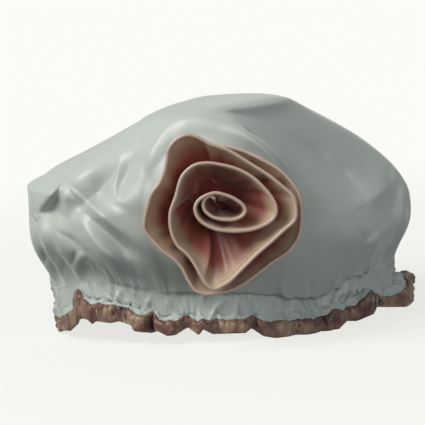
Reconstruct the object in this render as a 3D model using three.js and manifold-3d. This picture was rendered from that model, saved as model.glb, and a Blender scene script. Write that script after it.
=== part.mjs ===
// A satin shower cap: a lined crown gathered on elastic, a bound ruffle below it, a rolled rose in front.
// Millimetres, +Z up. The origin is the middle of the mouth, on the table that the cap stands on.
// The rose faces -Y, and +X is to the right of someone who faces the rose.
import * as THREE from "three";
import { mergeVertices } from "three/addons/utils/BufferGeometryUtils.js";
import Module from "manifold-3d";

// Crown: its fullest ring, higher at its left end by shoulderRise and lower at its right, and its top
const crownWidth = 240;
const crownDepth = 194;
const crownHeight = 141;
const fullestHeight = 82;
const shoulderRise = 11;
const peakShift = 14;

// Upper profiles of the crown, as shares outward and upward, from the peak to the fullest ring at 1, 0
// The last pair of each only steers the cloth as it passes the ring
const rightProfile = [
  [0, 1], [0.2, 0.975], [0.34, 0.905], [0.64, 0.632], [0.83, 0.405], [0.95, 0.2], [1, 0], [0.945, -0.2],
];
const backProfile = [
  [0, 1], [0.3, 0.96], [0.55, 0.85], [0.75, 0.64], [0.89, 0.4], [0.97, 0.18], [1, 0], [0.97, -0.18],
];
const leftProfile = [
  [0, 1], [0.1, 1], [0.24, 0.895], [0.4, 0.765], [0.65, 0.437], [0.84, 0.2], [1, 0], [0.9, -0.19],
];
const frontProfile = [
  [0, 1], [0.5, 0.995], [0.74, 0.955], [0.86, 0.82], [0.94, 0.57], [0.985, 0.26], [1, 0], [0.985, -0.26],
];

// How late the lower crown is drawn in on each side, and how deep its gathers are
const rightTuck = 3.5;
const backTuck = 5;
const leftTuck = 7.8;
const frontTuck = 5;
const gatherDepth = 2.5;

// Facet of the right front: a point and the facing of the plane that it sinks to, how far it stays rounded,
// and how far from the middle of the rose the cloth is held up and hangs free
const facetPoint = new THREE.Vector3(6, -60, 138);
const facetFacing = new THREE.Vector3(6.2, -5.5, 5.6).normalize();
const facetRounding = 5;
const heldRadius = 50;
const freeRadius = 80;

// Main folds of the front: width on the left and right hand of each, its height toward the front,
// and the points across and up that its crest runs through
const foldLines = [
  { widths: [7, 12], height: 5, crest: [[-46, 103], [-36, 121], [-20, 132], [0, 133], [19, 124], [44, 95]] },
  { widths: [8, 8], height: -6, crest: [[-47, 120], [-52, 107], [-61, 90]] },
  { widths: [13, 6], height: 8, crest: [[-95, 102], [-86, 93], [-71, 79], [-51, 61]] },
  { widths: [6, 10], height: 7, crest: [[-91, 86], [-82, 79], [-70, 62], [-61, 47]] },
];
const foldSoftness = 1.35;
const foldFade = 0.25;
const frontDepth = 25;

// Mouth: the oval that the elastic draws in
const mouthWidth = 209;
const mouthDepth = 150;
const elasticHeight = 24;
const channelHeight = 12;

// Ruffle: its waves, which crowd toward the front, how far its hem stands out and its scallops rise,
// and how much more its right end stands out and hangs higher
const ruffleWaves = 20;
const frontCrowding = 0.3;
const ruffleDepth = 4;
const ruffleFlare = 1;
const rightFlare = 7;
const rightLift = 4;
const scallopRise = 3;

// Sheets and trimmings, with the clearance that keeps neighbouring solids apart
const clearance = 0.3;
const stitchClearance = 0.5;
const satinThickness = 0.6;
const liningThickness = 0.4;
const elasticWidth = 6;
const elasticThickness = 1;
const elasticLap = 14;
const threadRadius = 0.25;
const bindingWidth = 11;
const bindingThickness = 0.5;
const standingDepth = 0.5;

// Rose: its felt backing, and the folded strip that is rolled up on it
const roseTilt = THREE.MathUtils.degToRad(4);
const backingMargin = 5.6;
const backingThickness = 1.5;
const whipStitches = 16;
const whipReach = 1.2;
const stripThickness = 0.8;
const footSpread = 0.5;
const petalOpening = 1.3;
const roseTwist = THREE.MathUtils.degToRad(-4);

// Rim of the rolled strip from the heart outward, as distances across and up from the middle of the rose
const rimPoints = [
  [-3, 7], [-8, 7], [-9, 3], [-3, -3], [5, -4], [14, 1], [7, 9], [-4, 13], [-12, 9], [-14, -2],
  [-3, -9], [12, -10], [28, -6], [32, 4], [25, 15], [10, 25], [-6, 29], [-17, 26], [-24, 17], [-28, 2],
  [-28, -10], [-24, -20], [-15, -29], [-8, -41], [-3, -43], [6, -38], [21, -24], [37, -10], [43, 1], [40, 10],
  [27, 22], [8, 34], [-9, 42], [-19, 45], [-28, 40], [-31, 31], [-35, 17], [-43, 1], [-42, -12], [-32, -23],
  [-22, -32], [-15, -45], [-5, -48], [13, -42], [31, -28], [45, -14], [48, 4], [43, 18], [27, 32], [8, 41],
];

// Height of the rim off its foot, at shares of the way along it
const rimRises = [
  [0, 24], [0.2, 26], [0.45, 26], [0.62, 24], [0.8, 20], [0.96, 17], [1, 12],
];

// Columns round the plain rings and round the waved rings, and rows from the peak to the fullest ring
const plainColumns = 2 * ruffleWaves;
const wavedColumns = 4 * ruffleWaves;
const profileSteps = 6;

const { lerp, smoothstep } = THREE.MathUtils;
const rimReach = Math.max(...rimPoints.map(([across, up]) => Math.hypot(across, up)));
const backingDiameter = 2 * (footSpread * rimReach + backingMargin);
const FULL_TURN = 2 * Math.PI;
const FRONT = -Math.PI / 2;

const wasm = await Module();
wasm.setup();

// Half the opening between satin and lining: closed on plain cloth, open for the elastic and its join
const closedHalf = clearance / 2;
const lapHalf = elasticThickness + clearance / 2;
const outerHalf = lapHalf + clearance;
const innerHalf = lapHalf + clearance + 2 * threadRadius + clearance;

// Heights along one line of the crown, from the peak at 0 to the hem at 4
const PEAK = 0;
const FULLEST = 1;
const GATHERS = 1.8;
const CHANNEL_TOP = 2;
const CHANNEL_MOUTH = 2.2;
const CHANNEL_FOOT = 2.8;
const CHANNEL_BOTTOM = 3;
const HEM = 4;
const UPPER_SEAM = CHANNEL_TOP + 0.02;
const LOWER_SEAM = CHANNEL_BOTTOM - 0.05;
const BINDING_TOP = HEM - bindingWidth / (elasticHeight - channelHeight / 2);

// Angle round the mouth at a turn round the rings, whose columns crowd toward the front
function crowded(turn) {
  return turn - frontCrowding * Math.cos(turn);
}

function curveThrough(points) {
  return new THREE.SplineCurve(points.map(([x, y]) => new THREE.Vector2(x, y)));
}

function blendRound(angle, right, back, left, front) {
  const side = Math.cos(angle) > 0 ? right : left;
  const end = Math.sin(angle) > 0 ? back : front;
  return side * Math.cos(angle) ** 2 + end * Math.sin(angle) ** 2;
}

function oval(angle, width, depth) {
  return new THREE.Vector2((width / 2) * Math.cos(angle), (depth / 2) * Math.sin(angle));
}

function rightness(angle) {
  return Math.max(0, Math.cos(angle)) ** 2;
}

// The crown's fullest ring, drawn in by the layers that lie outside the seam surface
function fullestRing(angle) {
  const layers = 2 * (closedHalf + satinThickness);
  return oval(angle, crownWidth - layers, crownDepth - layers);
}

function shoulderHeight(angle) {
  return fullestHeight - shoulderRise * Math.cos(angle);
}

const profiles = [rightProfile, backProfile, leftProfile, frontProfile].map(curveThrough);

function upperCrown(angle, along) {
  const last = rightProfile.length - 1;
  const shares = profiles.map((profile) => profile.getPoint((along * (last - 1)) / last));
  const outward = blendRound(angle, ...shares.map((share) => share.x));
  const upward = blendRound(angle, ...shares.map((share) => share.y));
  const peak = new THREE.Vector2(peakShift, 0);
  const flat = peak.lerp(fullestRing(angle), outward);
  const top = crownHeight - closedHalf - satinThickness;
  return new THREE.Vector3(flat.x, flat.y, lerp(shoulderHeight(angle), top, upward));
}

function lowerCrown(angle, along, wave) {
  const late = blendRound(angle, rightTuck, backTuck, leftTuck, frontTuck);
  const drawnIn = Math.sin((along * Math.PI) / 2) ** late;
  const flat = fullestRing(angle).lerp(oval(angle, mouthWidth, mouthDepth), drawnIn);
  const bump = (27 / 4) * along * along * (1 - along);
  const top = elasticHeight + channelHeight / 2;
  flat.add(outwardAt(angle).multiplyScalar(gatherDepth * bump * wave));
  return new THREE.Vector3(flat.x, flat.y, lerp(shoulderHeight(angle), top, along));
}

function channelWall(angle, along) {
  const flat = oval(angle, mouthWidth, mouthDepth);
  return new THREE.Vector3(flat.x, flat.y, elasticHeight + channelHeight * (0.5 - along));
}

function ruffle(angle, along, wave) {
  const flare = ruffleFlare + rightFlare * rightness(angle) + ruffleDepth * wave;
  const opened = Math.min(1, along / (BINDING_TOP - CHANNEL_BOTTOM));
  const flat = oval(angle, mouthWidth, mouthDepth).add(outwardAt(angle).multiplyScalar(flare * opened));
  const top = elasticHeight - channelHeight / 2;
  const hem = clearance + bindingThickness - standingDepth;
  const raised = hem + rightLift * rightness(angle) + (scallopRise * (1 - wave)) / 2;
  return new THREE.Vector3(flat.x, flat.y, lerp(top, raised, along));
}

function outwardAt(angle) {
  const across = oval(angle, mouthDepth, mouthWidth);
  return across.normalize();
}

// The seam surface that lies between satin and lining, before it is folded and the rose flattens its front
function looseSurface(turn, along) {
  const angle = crowded(turn);
  const wave = Math.cos(ruffleWaves * turn);
  if (along < FULLEST) {
    return upperCrown(angle, along);
  }
  if (along < CHANNEL_TOP) {
    return lowerCrown(angle, along - FULLEST, wave);
  }
  if (along < CHANNEL_BOTTOM) {
    return channelWall(angle, along - CHANNEL_TOP);
  }
  return ruffle(angle, along - CHANNEL_BOTTOM, wave);
}

const roseAxis = new THREE.Vector3(0, -Math.cos(roseTilt), Math.sin(roseTilt));
const seatPoint = looseSurface(FRONT, FULLEST);

// How far a point lies in front of the rose's seat, and aside from the rose's axis
function fromRose(point) {
  const fromSeat = point.clone().sub(seatPoint);
  const off = fromSeat.dot(roseAxis);
  const aside = fromSeat.addScaledVector(roseAxis, -off).length();
  return { off, aside };
}

// The right front sinks to a plane between the flat top and the rose
function sinkFacet(point, along) {
  const above = Math.max(0, point.clone().sub(facetPoint).dot(facetFacing));
  const kept = facetRounding * (1 - Math.exp(-above / facetRounding));
  const free = smoothstep(fromRose(point).aside, heldRadius, freeRadius);
  const upper = 1 - smoothstep(along, (FULLEST + CHANNEL_TOP) / 2, CHANNEL_TOP);
  point.addScaledVector(facetFacing, (kept - above) * free * upper);
}

const folds = foldLines.map(({ crest, widths, height }) => {
  return { stations: curveThrough(crest).getPoints(12 * crest.length), widths, height };
});

// Height of one fold at a place across and up: full along its crest, fading at both ends and to both sides
function foldHeight({ stations, widths, height }, place) {
  const last = stations.length - 1;
  let nearest = Infinity;
  let share = 0;
  for (let k = 0; k < last; k += 1) {
    const off = place.clone().sub(stations[k]);
    const onLeft = stations[k + 1].clone().sub(stations[k]).cross(off) > 0;
    const reach = off.length() / (onLeft ? widths[0] : widths[1]);
    if (reach < nearest) {
      nearest = reach;
      share = k / last;
    }
  }
  const ends = smoothstep(share, 0, foldFade) * smoothstep(1 - share, 0, foldFade);
  return height * ends * Math.exp(-(nearest ** foldSoftness));
}

function addFolds(point, along) {
  const place = new THREE.Vector2(point.x, point.z);
  const rise = folds.reduce((sum, fold) => sum + foldHeight(fold, place), 0);
  const gathered = smoothstep(along, GATHERS, CHANNEL_TOP);
  point.y -= rise * (1 - gathered) * smoothstep(-point.y, 0, frontDepth);
}

// The seam surface itself: its front is folded, and drawn flat against the rose's backing
function seamSurface(turn, along) {
  const point = looseSurface(turn, along);
  if (along < CHANNEL_TOP) {
    sinkFacet(point, along);
    addFolds(point, along);
  }
  const { off, aside } = fromRose(point);
  const flatRadius = backingDiameter / 2 + whipReach;
  const pressed = 1 - smoothstep(aside, flatRadius, 1.5 * flatRadius);
  const near = 1 - smoothstep(Math.abs(off), crownDepth / 8, crownDepth / 4);
  return point.addScaledVector(roseAxis, -off * pressed * near);
}

// Point on the seam surface with its outward normal and its downward direction
function seamFrame(turn, along) {
  const step = along < CHANNEL_TOP ? 0.05 : 0.002;
  const point = seamSurface(turn, along);
  if (along === PEAK) {
    return { point, normal: new THREE.Vector3(0, 0, 1), down: new THREE.Vector3(1, 0, 0) };
  }
  const upper = seamSurface(turn, Math.max(PEAK, along - step));
  const lower = seamSurface(turn, Math.min(HEM, along + step));
  const down = lower.sub(upper).normalize();
  const round = seamSurface(turn + step, along).sub(seamSurface(turn - step, along));
  const normal = down.clone().cross(round).normalize();
  return { point, normal, down };
}

// Ring of points that lies off the seam surface by one distance, and further down it by another
function ringOff(along, columns, off, further = 0) {
  return Array.from({ length: columns }, (_, column) => {
    const { point, normal, down } = seamFrame((column / columns) * FULL_TURN, along);
    return point.addScaledVector(normal, off).addScaledVector(down, further);
  });
}

// Triangles from each ring to the next; a ring has as many points as the one above it, twice as many or half
function skin(rings) {
  const triangles = [];
  for (let k = 0; k + 1 < rings.length; k += 1) {
    const [upper, lower] = [rings[k], rings[k + 1]];
    const count = Math.max(upper.length, lower.length);
    const above = (column) => upper[Math.floor((column * upper.length) / count) % upper.length];
    const below = (column) => lower[Math.floor((column * lower.length) / count) % lower.length];
    for (let column = 0; column < count; column += 1) {
      const corners = [above(column), below(column), below(column + 1), above(column + 1)];
      if (corners[1] !== corners[2]) {
        triangles.push(corners[0], corners[1], corners[2]);
      }
      if (corners[0] !== corners[3]) {
        triangles.push(corners[0], corners[2], corners[3]);
      }
    }
  }
  return triangles;
}

function turnedOver(triangles) {
  return triangles.map((_, k) => triangles[k - (k % 3) + 2 - (k % 3)]);
}

function geometryOf(triangles) {
  const numbers = new Map();
  const positions = [];
  const index = triangles.map((point) => {
    if (!numbers.has(point)) {
      numbers.set(point, numbers.size);
      positions.push(point.x, point.y, point.z);
    }
    return numbers.get(point);
  });
  const geometry = new THREE.BufferGeometry();
  geometry.setAttribute("position", new THREE.Float32BufferAttribute(positions, 3));
  geometry.setIndex(index);
  geometry.computeVertexNormals();
  return geometry;
}

// Solid swept from section to section, with flat ends; point i of a section faces its point count - 1 - i
function stripSolid(sections) {
  const triangles = [];
  const count = sections[0].length;
  for (let k = 0; k + 1 < sections.length; k += 1) {
    for (let i = 0; i < count; i += 1) {
      const [a, b] = [sections[k][i], sections[k][(i + 1) % count]];
      const [c, d] = [sections[k + 1][i], sections[k + 1][(i + 1) % count]];
      triangles.push(a, b, c, b, d, c);
    }
  }
  const last = sections[sections.length - 1];
  for (let i = 0; i + 1 < count / 2; i += 1) {
    const [e, f] = [count - 1 - i, count - 2 - i];
    triangles.push(sections[0][i], sections[0][e], sections[0][i + 1]);
    triangles.push(sections[0][i + 1], sections[0][e], sections[0][f]);
    triangles.push(last[i], last[i + 1], last[e]);
    triangles.push(last[i + 1], last[f], last[e]);
  }
  return geometryOf(triangles);
}

// Rows of a cloth layer, as heights along the crown with the columns of each
const upperRows = Array.from({ length: profileSteps }, (_, k) => (FULLEST * (k + 1)) / profileSteps);
const lowerRows = [(FULLEST + CHANNEL_TOP) / 2, CHANNEL_TOP, CHANNEL_MOUTH, CHANNEL_FOOT, CHANNEL_BOTTOM];
const clothRows = [
  [PEAK, 1],
  ...[...upperRows, ...lowerRows].map((along) => [along, plainColumns]),
  [BINDING_TOP, wavedColumns],
  [HEM, wavedColumns],
];

function inChannel(along) {
  return along > CHANNEL_TOP && along < CHANNEL_BOTTOM;
}

// Cloth layer between two distances off the seam surface, the first one for its outer face
function clothLayer(outerOff, innerOff) {
  const [outer, inner] = [outerOff, innerOff].map((off) => {
    return clothRows.map(([along, columns]) => ringOff(along, columns, off(along)));
  });
  const edge = skin([outer[outer.length - 1], inner[inner.length - 1]]);
  return geometryOf([...skin(outer), ...edge, ...turnedOver(skin(inner))]);
}

function outerCrown() {
  const inside = (along) => (inChannel(along) ? outerHalf : closedHalf);
  return clothLayer((along) => inside(along) + satinThickness, inside);
}

function lining() {
  const outside = (along) => -(inChannel(along) ? innerHalf : closedHalf);
  return clothLayer(outside, (along) => outside(along) - liningThickness);
}

// Frame halfway up the channel at a place counted in columns, on the flat stretch between two of them
function channelFrame(place) {
  const middle = (CHANNEL_TOP + CHANNEL_BOTTOM) / 2;
  const [before, after] = [Math.floor(place), Math.ceil(place)].map((column) => {
    return seamFrame((column / plainColumns) * FULL_TURN, middle);
  });
  const share = place - Math.floor(place);
  const between = (key) => before[key].lerp(after[key], share);
  return { point: between("point"), normal: between("normal"), down: between("down") };
}

// The lap of the elastic at the middle of the back, counted in columns
const backColumn = plainColumns / 4;
const lapTurn = elasticLap / (mouthWidth / 2) / (1 + frontCrowding);
const lapColumns = (lapTurn / FULL_TURN) * plainColumns;

// Elastic strip whose loop winds inward a little, so that its two ends lap
function elasticBand() {
  const start = backColumn - lapColumns / 2;
  const end = start + plainColumns + lapColumns;
  const places = [start];
  for (let column = Math.ceil(start); column < end; column += 1) {
    places.push(column);
  }
  places.push(end);
  const shift = (elasticThickness + clearance) / 2;
  const sections = places.map((place) => {
    const { point, normal, down } = channelFrame(place);
    const middle = lerp(shift, -shift, (place - start) / (end - start));
    const corner = (off, low) => {
      const moved = point.clone().addScaledVector(normal, middle + off * elasticThickness);
      return moved.addScaledVector(down, low * elasticWidth);
    };
    return [corner(0.5, 0.5), corner(-0.5, 0.5), corner(-0.5, -0.5), corner(0.5, -0.5)];
  });
  return stripSolid(sections);
}

// Zigzag that sews the two lapped ends of the elastic together, on the side of the lining
function elasticJoin() {
  const zigzags = 6;
  const off = -(lapHalf + clearance + threadRadius);
  const points = Array.from({ length: zigzags + 1 }, (_, k) => {
    const place = backColumn + lapColumns * 0.6 * (k / zigzags - 0.5);
    const { point, normal, down } = channelFrame(place);
    return point.addScaledVector(normal, off).addScaledVector(down, (k % 2 ? 0.35 : -0.35) * elasticWidth);
  });
  const path = new THREE.CatmullRomCurve3(points, false, "catmullrom", 0.3);
  const section = new THREE.Shape().absarc(0, 0, threadRadius, 0, FULL_TURN);
  return new THREE.ExtrudeGeometry(section, { steps: 3 * zigzags, extrudePath: path, curveSegments: 2 });
}

// Thread that runs round the cap on its outside, on a face that lies off the seam surface by a distance
function threadRound(along, columns, faceOff) {
  const middle = faceOff + stitchClearance + threadRadius;
  const rings = [0, 1, 2, 3, 4].map((side) => {
    const turn = (((side % 4) + 0.5) / 4) * FULL_TURN;
    const off = middle + threadRadius * Math.cos(turn);
    return ringOff(along, columns, off, threadRadius * Math.sin(turn));
  });
  rings[4] = rings[0];
  return geometryOf(skin(rings));
}

const bindingInside = closedHalf + Math.max(satinThickness, liningThickness) + clearance;
const bindingOutside = bindingInside + bindingThickness;

// Tape folded over the hem, cut flat where the cap stands on it
function edgeBinding() {
  const belowHem = clearance + bindingThickness;
  const rings = [
    ringOff(BINDING_TOP, wavedColumns, bindingOutside),
    ringOff(HEM, wavedColumns, bindingOutside, belowHem),
    ringOff(HEM, wavedColumns, -bindingOutside, belowHem),
    ringOff(BINDING_TOP, wavedColumns, -bindingOutside),
    ringOff(BINDING_TOP, wavedColumns, -bindingInside),
    ringOff(HEM, wavedColumns, -bindingInside, clearance),
    ringOff(HEM, wavedColumns, bindingInside, clearance),
    ringOff(BINDING_TOP, wavedColumns, bindingInside),
  ];
  rings.push(rings[0]);
  const table = new THREE.BoxGeometry(2 * crownWidth, 2 * crownWidth, crownHeight);
  table.translate(0, 0, -crownHeight / 2);
  table.deleteAttribute("normal");
  table.deleteAttribute("uv");
  return cutAway(geometryOf(skin(rings)), mergeVertices(table));
}

function manifoldOf(geometry) {
  const mesh = new wasm.Mesh({
    numProp: 3,
    vertProperties: new Float32Array(geometry.getAttribute("position").array),
    triVerts: new Uint32Array(geometry.getIndex().array),
  });
  return new wasm.Manifold(mesh);
}

function cutAway(geometry, tool) {
  const mesh = manifoldOf(geometry).subtract(manifoldOf(tool)).getMesh();
  const result = new THREE.BufferGeometry();
  result.setAttribute("position", new THREE.Float32BufferAttribute(mesh.vertProperties, 3));
  result.setIndex(Array.from(mesh.triVerts));
  result.computeVertexNormals();
  return result;
}

// Rose, built about its own axis: local +Z points away from the crown, which lies at local z 0
const feltTop = clearance + backingThickness;
const stripFoot = feltTop + clearance;

function roseBacking() {
  const disc = new THREE.CylinderGeometry(backingDiameter / 2, backingDiameter / 2, backingThickness, 48);
  disc.rotateX(Math.PI / 2);
  disc.translate(0, 0, clearance + backingThickness / 2);
  return disc;
}

// Thread that crosses the edge of the backing again and again, from the felt down to the crown
function whipStitch() {
  const felt = feltTop + clearance + threadRadius;
  const cloth = clearance + threadRadius;
  const beside = backingDiameter / 2 + clearance + 2 * threadRadius;
  const onFelt = backingDiameter / 2 - whipReach;
  const path = [
    [onFelt, felt],
    [beside, felt],
    [beside, cloth],
    [beside, cloth],
    [beside, felt],
    [onFelt, felt],
  ];
  const count = whipStitches * path.length;
  const points = Array.from({ length: count }, (_, k) => {
    const [radius, height] = path[k % path.length];
    const turn = (k / count) * FULL_TURN;
    return new THREE.Vector3(radius * Math.cos(turn), radius * Math.sin(turn), height);
  });
  const curve = new THREE.CatmullRomCurve3(points, true, "catmullrom", 0);
  return new THREE.TubeGeometry(curve, count, threadRadius, 3, true);
}

const rimCurve = curveThrough(rimPoints);
const riseAlong = new THREE.LinearInterpolant(
  rimRises.map(([share]) => share),
  rimRises.map(([, rise]) => rise),
  1,
);

// Folded strip rolled from the middle outward; each petal rises from its foot and opens toward its rim
function roseStrip() {
  const steps = 2 * (rimPoints.length - 1);
  const heights = [0, 0.3, 0.65, 1];
  const sections = [];
  for (let k = 0; k <= steps; k += 1) {
    const rim = rimCurve.getPoint(k / steps);
    const ahead = rimCurve.getTangent(k / steps);
    const outward = new THREE.Vector3(ahead.y, -ahead.x, 0);
    const [rise] = riseAlong.evaluate(k / steps);
    const wall = heights.map((height) => {
      const spread = lerp(1, footSpread, (1 - height) ** petalOpening);
      return new THREE.Vector3(rim.x * spread, rim.y * spread, stripFoot + rise * height);
    });
    const half = stripThickness / 2;
    const inner = wall.map((point) => point.clone().addScaledVector(outward, -half));
    const outer = wall.map((point) => point.clone().addScaledVector(outward, half));
    sections.push([...inner, ...outer.reverse()]);
  }
  return stripSolid(sections);
}

// Materials
function cloth(color, roughness) {
  return new THREE.MeshStandardMaterial({ color, roughness, metalness: 0, side: THREE.FrontSide });
}

const WHITE_SATIN = [0xc9d0cd, 0.4];
const ROSE_SATIN = [0xb98877, 0.4];
const PINK_LINING = [0xb08a7c, 0.6];
const WHITE_ELASTIC = [0xe8e6e0, 0.8];
const WHITE_THREAD = [0xdfe2df, 0.7];
const PINK_THREAD = [0x9d7263, 0.7];
const PINK_FELT = [0xa87a6b, 0.95];

function piece(name, geometry, finish) {
  const mesh = new THREE.Mesh(geometry, cloth(...finish));
  mesh.name = name;
  return mesh;
}

function makeCap() {
  const satinFace = closedHalf + satinThickness;
  const cap = new THREE.Group();
  cap.name = "cap";
  cap.add(piece("outer_crown", outerCrown(), WHITE_SATIN));
  cap.add(piece("lining", lining(), PINK_LINING));
  cap.add(piece("elastic_band", elasticBand(), WHITE_ELASTIC));
  cap.add(piece("elastic_join_thread", elasticJoin(), WHITE_THREAD));
  cap.add(piece("channel_thread_upper", threadRound(UPPER_SEAM, plainColumns, satinFace), WHITE_THREAD));
  cap.add(piece("channel_thread_lower", threadRound(LOWER_SEAM, plainColumns, satinFace), WHITE_THREAD));
  cap.add(piece("edge_binding", edgeBinding(), ROSE_SATIN));
  const seam = lerp(BINDING_TOP, HEM, 0.2);
  cap.add(piece("binding_thread", threadRound(seam, wavedColumns, bindingOutside), PINK_THREAD));
  return cap;
}

function makeRose() {
  const rose = new THREE.Group();
  rose.name = "rose";
  rose.add(piece("rose_backing", roseBacking(), PINK_FELT));
  rose.add(piece("rose_whip_thread", whipStitch(), PINK_THREAD));
  rose.add(piece("rose_strip", roseStrip(), ROSE_SATIN));
  rose.position.copy(seatPoint).addScaledVector(roseAxis, closedHalf + satinThickness);
  rose.rotation.set(Math.PI / 2 - roseTilt, 0, roseTwist);
  return rose;
}

const part = new THREE.Group();
part.name = "shower_cap";
part.add(makeCap(), makeRose());
part.updateMatrixWorld(true);

export default part;
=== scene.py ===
"""Lined satin shower cap with a rolled satin rose on its front.

Lengths are in millimetres until a mesh is made. The rose faces -Y, +X is right in the photograph, Z is up.
Folds and petal rims are given as pixels of the 425 x 425 photograph and laid on the surface behind them.
"""
import math

import bpy
import numpy as np
from mathutils import Matrix, Vector


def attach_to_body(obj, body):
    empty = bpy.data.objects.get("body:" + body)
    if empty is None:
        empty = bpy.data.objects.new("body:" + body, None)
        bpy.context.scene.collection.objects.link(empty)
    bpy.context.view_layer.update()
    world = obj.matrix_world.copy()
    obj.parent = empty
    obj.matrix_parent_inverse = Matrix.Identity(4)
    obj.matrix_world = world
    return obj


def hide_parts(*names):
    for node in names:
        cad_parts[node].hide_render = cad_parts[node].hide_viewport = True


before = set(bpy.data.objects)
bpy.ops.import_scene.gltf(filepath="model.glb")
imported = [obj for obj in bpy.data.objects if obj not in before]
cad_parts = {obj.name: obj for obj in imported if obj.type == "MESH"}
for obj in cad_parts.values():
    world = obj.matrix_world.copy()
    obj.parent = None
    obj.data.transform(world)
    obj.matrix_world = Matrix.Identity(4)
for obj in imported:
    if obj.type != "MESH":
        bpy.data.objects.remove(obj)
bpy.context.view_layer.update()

Z_AXIS = np.array([0.0, 0.0, 1.0])

# Camera: a long lens in front of the rose, a little above it and turned a little
PHOTO_SIZE = 425
PIXEL = 0.628
VIEW_DISTANCE = 1600.0
VIEW_ELEVATION = math.radians(7.5)
VIEW_ROLL = math.radians(4.0)
AIM = np.array([-4.7, 0.0, 68.0])

# Crown: its fullest ring, higher on the left, its peak, and the mouth that the elastic draws in
GIRTH = (119.0, 96.4)
GIRTH_HEIGHT = 82.0
SHOULDER_RISE = 11.0
PEAK = (14.0, 0.0)
PEAK_HEIGHT = 141.0
MOUTH = (104.5, 75.0)
ELASTIC_HEIGHT = 24.0
CHANNEL = 12.0

# Upper profiles of the crown, right, back, left and front, as (outward share, upward share)
# They run from the peak to the fullest ring at 1, 0, and the last pair only steers the cloth past the ring
PROFILES = [
    [(0, 1), (0.2, 0.975), (0.34, 0.905), (0.64, 0.632), (0.83, 0.405), (0.95, 0.2), (1, 0), (0.945, -0.2)],
    [(0, 1), (0.3, 0.96), (0.55, 0.85), (0.75, 0.64), (0.89, 0.4), (0.97, 0.18), (1, 0), (0.97, -0.18)],
    [(0, 1), (0.1, 1), (0.24, 0.895), (0.4, 0.765), (0.65, 0.437), (0.84, 0.2), (1, 0), (0.9, -0.19)],
    [(0, 1), (0.5, 0.995), (0.74, 0.955), (0.86, 0.82), (0.94, 0.57), (0.985, 0.26), (1, 0), (0.985, -0.26)],
]

# Facet of the right front: a point and the facing of the plane it falls to, how far it stays rounded,
# and how far from the rose's axis it begins to fall and falls freely
FACET_POINT = np.array([6.0, -60.0, 138.0])
FACET_FACING = np.array([0.62, -0.55, 0.56])
FACET_ROUNDING = 5.0
FACET_FREE = (44.0, 62.0)

# How late the lower crown is drawn in: right, back, left, front
TUCK = (3.5, 5.0, 7.8, 5.0)

# Ruffle: where its lobes stand out, in degrees round the mouth with the front at -90, and how many behind
FRONT_LOBES = [-158, -140, -130, -119, -110, -99, -88, -73, -64, -54, -40, -8]
BACK_LOBES = 15

# Depth of the lobes, how far they lean sideways, and the crumples on them
RUFFLE_DEPTH = 2.2
RUFFLE_LEAN = 1.6
RUFFLE_CRUMPLE = 1.2

# Hang of the ruffle: degrees round the mouth, how far it stands out, how far it puffs up, height of its hem
RUFFLE_HANG = [
    (-180, -1.5, 0, 1.2), (-160, 0, 0, 1), (-148, 3, 2, 8), (-134, 7, 5, 14), (-119, 6, 3, 10),
    (-106, 5, 1, 5.5), (-80, 4, 0, 4), (-70, 4, 0, 0.8), (-22, 5, 0, 2.5), (-11, 8, 2, 6), (2, 11, 3, 14),
    (10, 9.5, 3, 14), (24, 7, 0, 5), (40, 4, 0, 1), (90, 3, 0, 1), (140, 3, 0, 1),
]

# Line along the front where the elastic draws the crown in, in pixels
GATHER_EDGE = [
    (56, 287), (62, 289), (72, 286), (84, 283), (100, 281), (118, 284), (135, 288), (149, 291),
    (166, 296), (190, 295), (215, 294), (240, 294), (262, 293), (290, 292), (313, 289), (333, 284),
    (346, 279), (360, 274), (374, 270), (390, 268), (400, 267),
]

# Rise and fall of that line round the back, and its small jags all round
GATHER_SWAY = 1.4
GATHER_JAG = 1.1

# Sag of the crown over the elastic: degrees round the mouth, half width in degrees, height
SAGS = [(-61, 15, 9.0), (-84, 12, 3.0), (-104, 7, 2.0), (-122, 7, 2.0), (-40, 6, 2.0)]

# How far the sagging cloth stands out, as a share of its sag
SAG_STAND = 0.6

# Rows of cloth on each side of the fullest ring over which the back bends softly
BACK_BEND = 10

# Heights of the gathers above the elastic, and of the puckers on it and on the ruffle, broad and fine
GATHERS = 2.4
PUCKERS = (2.8, 1.3)

# Lower edge of the tape along the front, in pixels
HEM_EDGE = [
    (56, 320), (61, 329), (71, 331), (79, 324), (81, 318), (89, 319), (94, 324), (98, 321), (113, 323),
    (121, 321), (133, 325), (135, 331), (151, 333), (159, 331), (168, 336), (176, 335), (189, 327),
    (200, 335), (204, 329), (213, 334), (246, 333), (252, 328), (264, 336), (280, 339), (299, 336),
    (303, 339), (308, 336), (320, 334), (337, 331), (347, 321), (357, 321), (374, 314), (377, 307),
]

# Pinched folds of the ruffle: degrees round the mouth, half width in degrees, puff, stand
PINCHES = [
    (-145, 3.5, 9, 2), (-115, 2, 3, -5), (-103, 2, 2, -4), (-81, 2, 2, -4), (-54, 2, 2, -3), (-39, 4, 7, 2),
    (-24, 2.5, 0, -5),
]

# Cloth: the seam surface between satin and lining runs outside the elastic, and the lining goes behind it
SEAM_OFF = 1.3
SEAM = (MOUTH[0] + SEAM_OFF, MOUTH[1] + SEAM_OFF)
CLOTH_OFF = 0.3
LINING_OFF = 3.7

# Tape round the hem: its unfolded width, its top edge as a share of the ruffle, how uneven that edge is,
# and where the tape is wider (degrees round the mouth, half width in degrees, share)
TAPE_WIDTH = 22.0
TAPE_TOP = 0.5
TAPE_UNEVEN = 0.07
TAPE_WIDER = (-80, 12, 0.1)

# Tape on its cloth: how far off it lies, its thickness, how far its fold passes the hem, and its creases
TAPE_OFF = 0.5
TAPE_THICKNESS = 0.3
TAPE_FOLD = 0.8
TAPE_CREASE = 1.5
TAPE_ROWS = 9

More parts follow.
